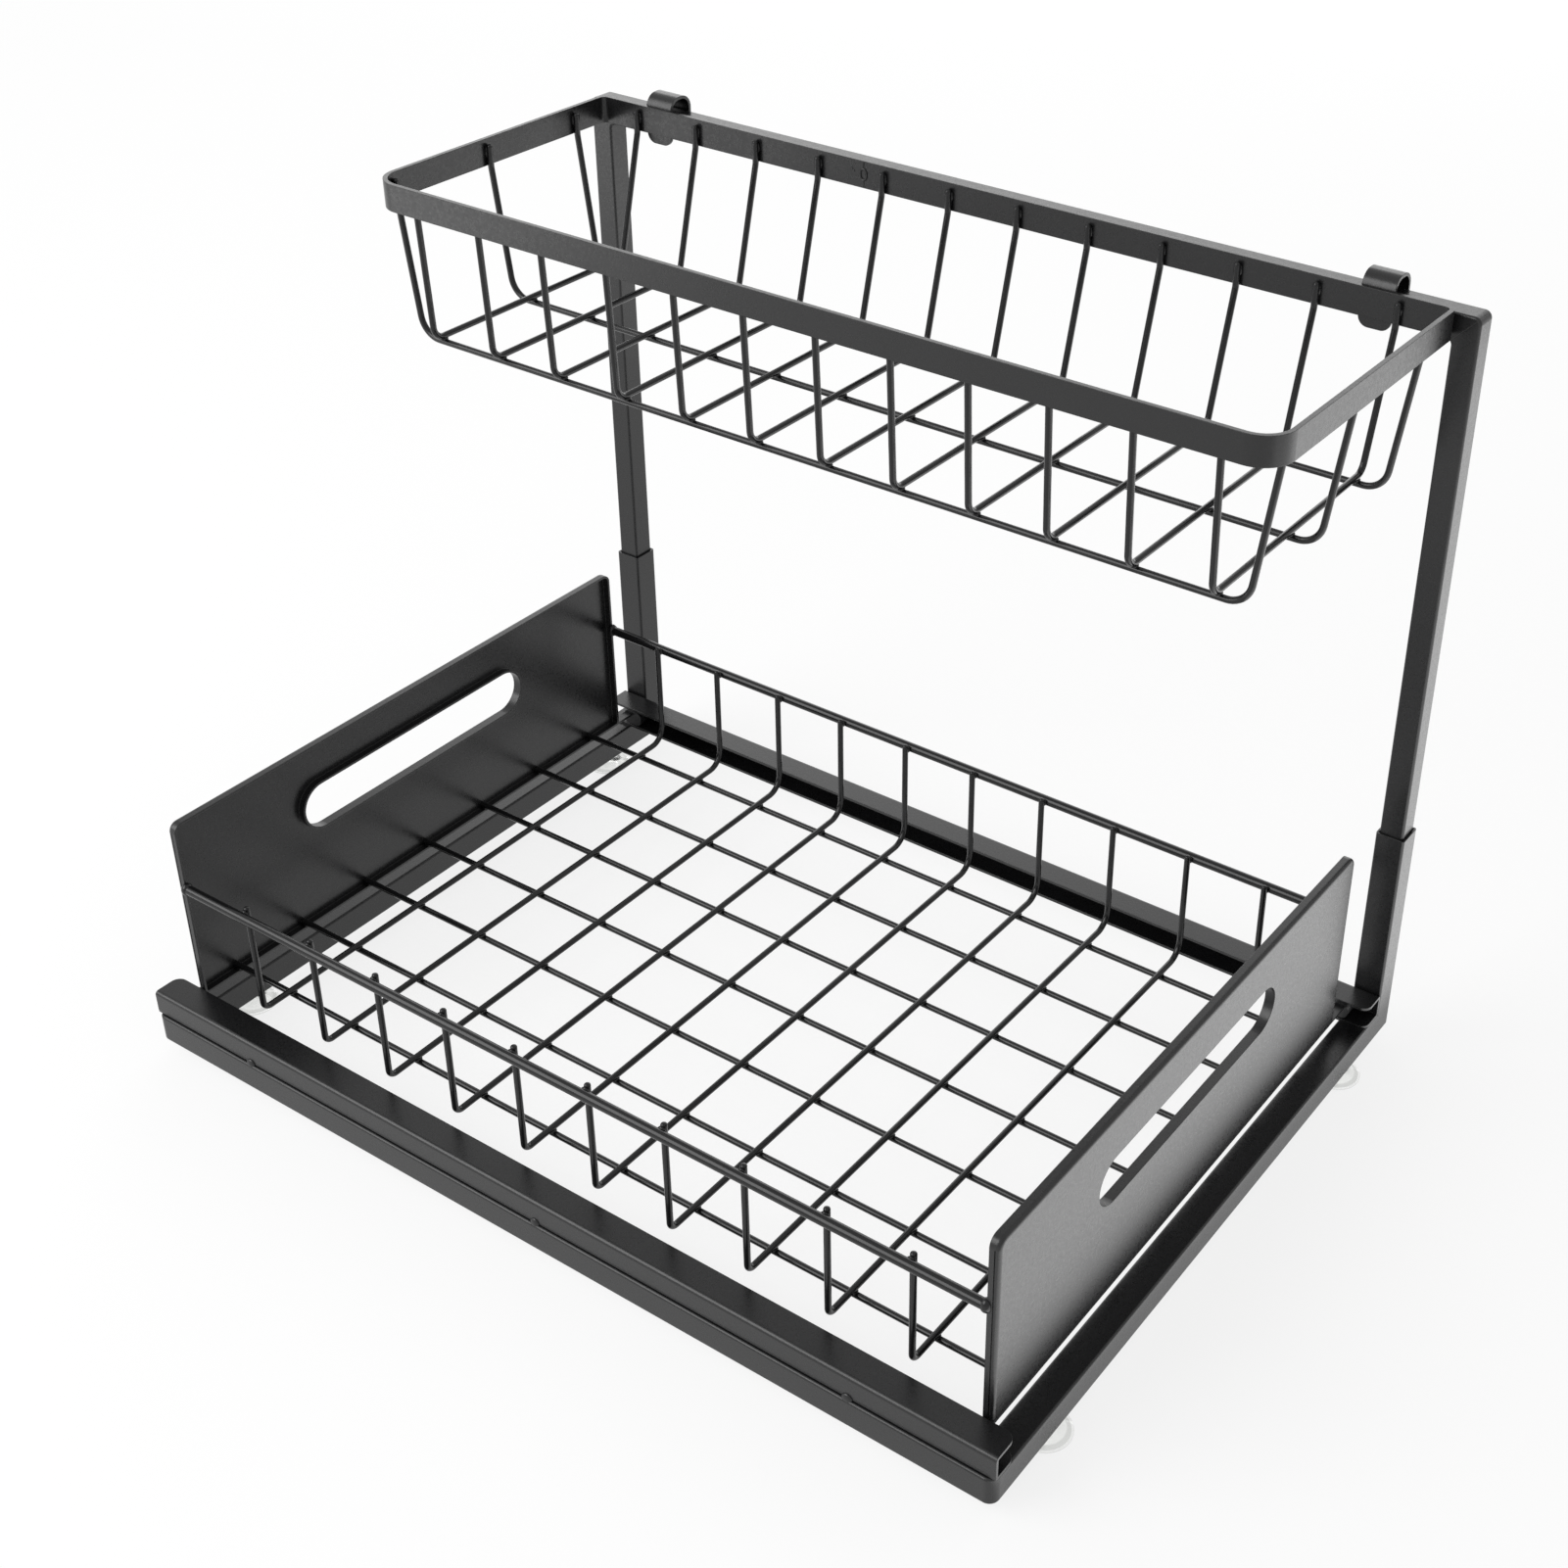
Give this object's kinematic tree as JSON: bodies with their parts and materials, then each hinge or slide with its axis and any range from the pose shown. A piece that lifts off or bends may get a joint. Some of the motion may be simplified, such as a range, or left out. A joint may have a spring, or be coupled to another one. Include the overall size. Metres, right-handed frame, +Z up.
{
  "type": "under sink organizer",
  "caption": "Two-tier black metal under sink organizer: wire drawer with slotted end panels sliding sideways on a tube base, and a wire basket hooked on an upright frame.",
  "frame": {"origin": "middle of the floor outline, on the floor plane under the cups", "axes": "+X along the length to the right end, +Y from the front to the back, +Z up"},
  "size_m": [0.408, 0.2962, 0.3262],
  "materials": {
    "black_powder_coat": "semi-matte powder coat with a fine grain",
    "clear_soft_pvc": "clear and glossy",
    "black_nylon": "smooth matte moulding"
  },
  "bodies": {
    "base": {"front_beam": "black_powder_coat", "left_foot": "black_powder_coat", "right_foot": "black_powder_coat", "left_post_sleeve": "black_powder_coat", "right_post_sleeve": "black_powder_coat", "front_slide_channel": "black_powder_coat", "rear_slide_channel": "black_powder_coat", "front_left_suction_cup": "clear_soft_pvc", "rear_left_suction_cup": "clear_soft_pvc", "front_right_suction_cup": "clear_soft_pvc", "rear_right_suction_cup": "clear_soft_pvc"},
    "drawer": {"left_drawer_panel": "black_powder_coat", "right_drawer_panel": "black_powder_coat", "drawer_front_rail": "black_powder_coat", "drawer_rear_rail": "black_powder_coat", "drawer_cross_wire_01": "black_powder_coat", "drawer_cross_wire_02": "black_powder_coat", "drawer_cross_wire_03": "black_powder_coat", "drawer_cross_wire_04": "black_powder_coat", "drawer_cross_wire_05": "black_powder_coat", "drawer_cross_wire_06": "black_powder_coat", "drawer_cross_wire_07": "black_powder_coat", "drawer_cross_wire_08": "black_powder_coat", "drawer_cross_wire_09": "black_powder_coat", "drawer_cross_wire_10": "black_powder_coat", "drawer_long_wire_1": "black_powder_coat", "drawer_long_wire_2": "black_powder_coat", "drawer_long_wire_3": "black_powder_coat", "drawer_long_wire_4": "black_powder_coat", "drawer_long_wire_5": "black_powder_coat", "drawer_long_wire_6": "black_powder_coat", "drawer_long_wire_7": "black_powder_coat", "front_left_glide": "black_nylon", "rear_left_glide": "black_nylon", "front_right_glide": "black_nylon", "rear_right_glide": "black_nylon"},
    "upper_frame": {"left_upright": "black_powder_coat", "right_upright": "black_powder_coat", "top_bar": "black_powder_coat"},
    "basket": {"basket_rim_band": "black_powder_coat", "left_hook": "black_powder_coat", "right_hook": "black_powder_coat", "basket_cross_wire_01": "black_powder_coat", "basket_cross_wire_02": "black_powder_coat", "basket_cross_wire_03": "black_powder_coat", "basket_cross_wire_04": "black_powder_coat", "basket_cross_wire_05": "black_powder_coat", "basket_cross_wire_06": "black_powder_coat", "basket_cross_wire_07": "black_powder_coat", "basket_cross_wire_08": "black_powder_coat", "basket_cross_wire_09": "black_powder_coat", "basket_cross_wire_10": "black_powder_coat", "basket_cross_wire_11": "black_powder_coat", "basket_cross_wire_12": "black_powder_coat", "basket_long_wire_1": "black_powder_coat", "basket_long_wire_2": "black_powder_coat", "basket_long_wire_3": "black_powder_coat"}
  },
  "joints": [
    {"name": "drawer_slide", "type": "slide", "parent": "base", "child": "drawer", "axis": [1, 0, 0], "range_m": [-0.26, 0.26]},
    {"name": "upper_frame_lift", "type": "slide", "parent": "base", "child": "upper_frame", "axis": [0, 0, 1], "range_m": [0, 0.07]},
    {"name": "basket_lift", "type": "slide", "parent": "upper_frame", "child": "basket", "axis": [0, 0, 1], "range_m": [0, 0.03]}
  ]
}
